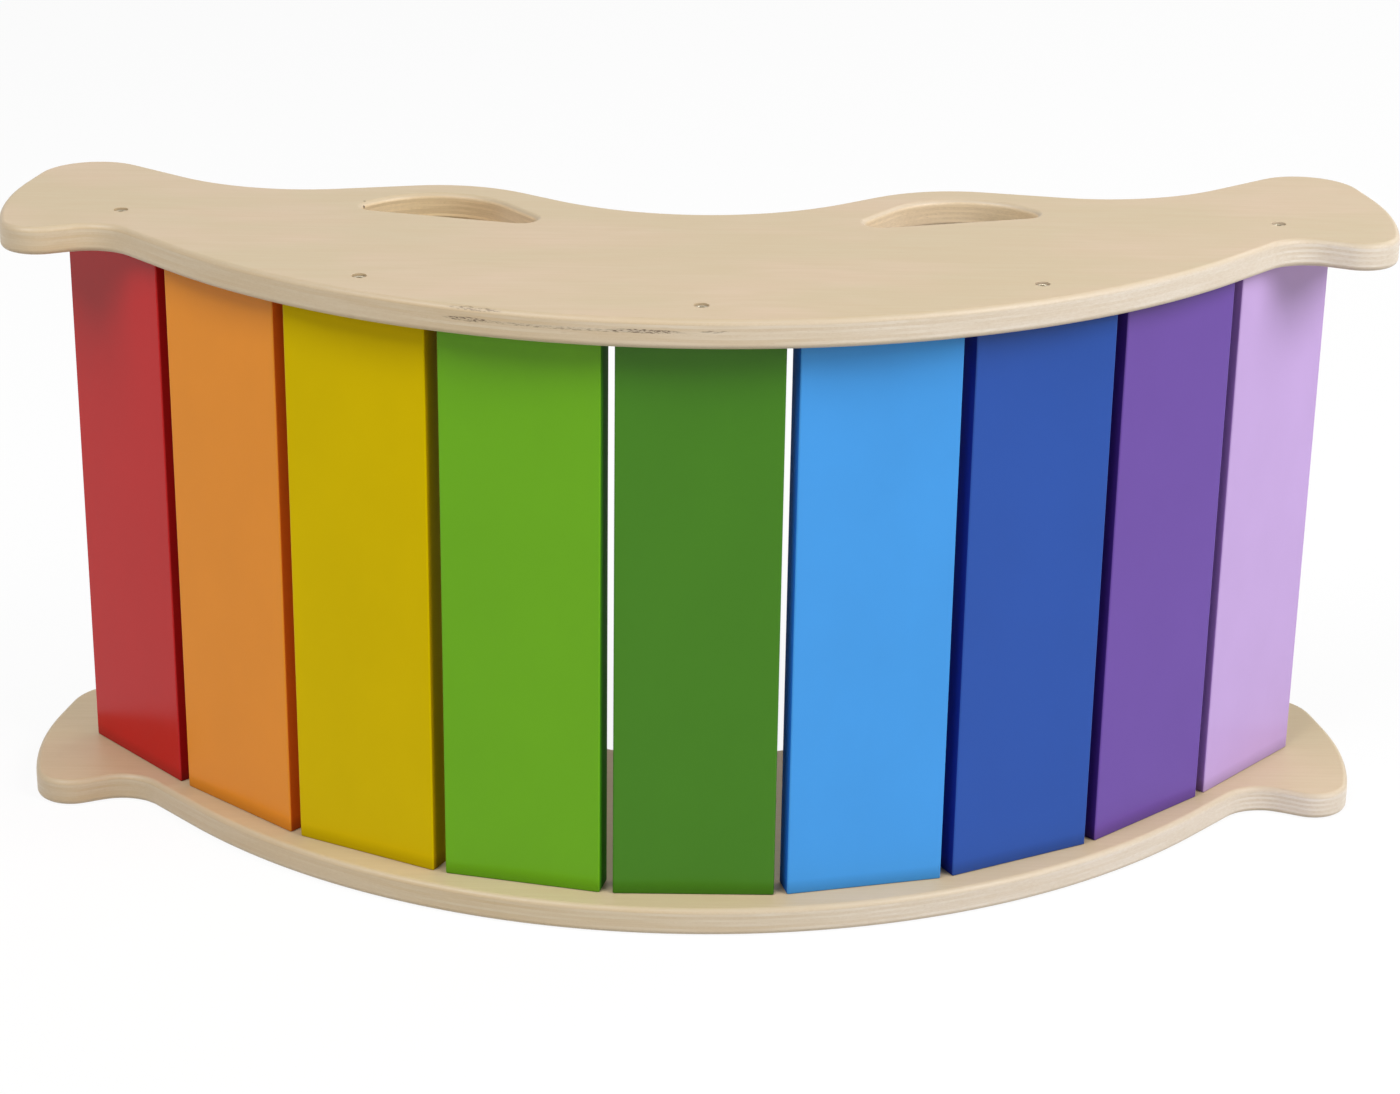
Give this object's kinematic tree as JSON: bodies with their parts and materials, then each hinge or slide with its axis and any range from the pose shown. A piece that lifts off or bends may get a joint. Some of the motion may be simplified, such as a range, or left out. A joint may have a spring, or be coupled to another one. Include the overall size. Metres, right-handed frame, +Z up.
{
  "type": "balance board",
  "caption": "Curved rocking balance board: bowed plywood side panels with hand slots, joined by painted slats that form a cradle.",
  "frame": {"origin": "centre of the standing footprint's box, on the lower panel's outer face", "axes": "+X along the board's length, +Y to the concave side with the hand slots, +Z up along the slats"},
  "size_m": [0.7354, 0.2748, 0.33],
  "materials": {
    "birch_plywood": "clear satin lacquer on birch plywood, ply layers on the edges",
    "red_paint": "satin red lacquer on wood",
    "orange_paint": "satin orange lacquer on wood",
    "yellow_paint": "satin yellow lacquer on wood",
    "light_green_paint": "satin light green lacquer on wood",
    "dark_green_paint": "satin dark green lacquer on wood",
    "light_blue_paint": "satin light blue lacquer on wood",
    "dark_blue_paint": "satin dark blue lacquer on wood",
    "purple_paint": "satin purple lacquer on wood",
    "lilac_paint": "satin lilac lacquer on wood",
    "beech": "plain turned beech",
    "screw_steel": "bright zinc plating"
  },
  "bodies": {
    "root": {"lower_side_panel": "birch_plywood", "upper_side_panel": "birch_plywood", "red_slat": "red_paint", "orange_slat": "orange_paint", "yellow_slat": "yellow_paint", "light_green_slat": "light_green_paint", "dark_green_slat": "dark_green_paint", "light_blue_slat": "light_blue_paint", "dark_blue_slat": "dark_blue_paint", "purple_slat": "purple_paint", "lilac_slat": "lilac_paint", "red_slat_dowels": "beech", "orange_slat_dowels": "beech", "yellow_slat_dowels": "beech", "light_green_slat_dowels": "beech", "dark_green_slat_dowels": "beech", "light_blue_slat_dowels": "beech", "dark_blue_slat_dowels": "beech", "purple_slat_dowels": "beech", "lilac_slat_dowels": "beech", "red_slat_lower_screw": "screw_steel", "yellow_slat_lower_screw": "screw_steel", "dark_green_slat_lower_screw": "screw_steel", "dark_blue_slat_lower_screw": "screw_steel", "lilac_slat_lower_screw": "screw_steel", "red_slat_upper_screw": "screw_steel", "yellow_slat_upper_screw": "screw_steel", "dark_green_slat_upper_screw": "screw_steel", "dark_blue_slat_upper_screw": "screw_steel", "lilac_slat_upper_screw": "screw_steel"}
  },
  "joints": []
}
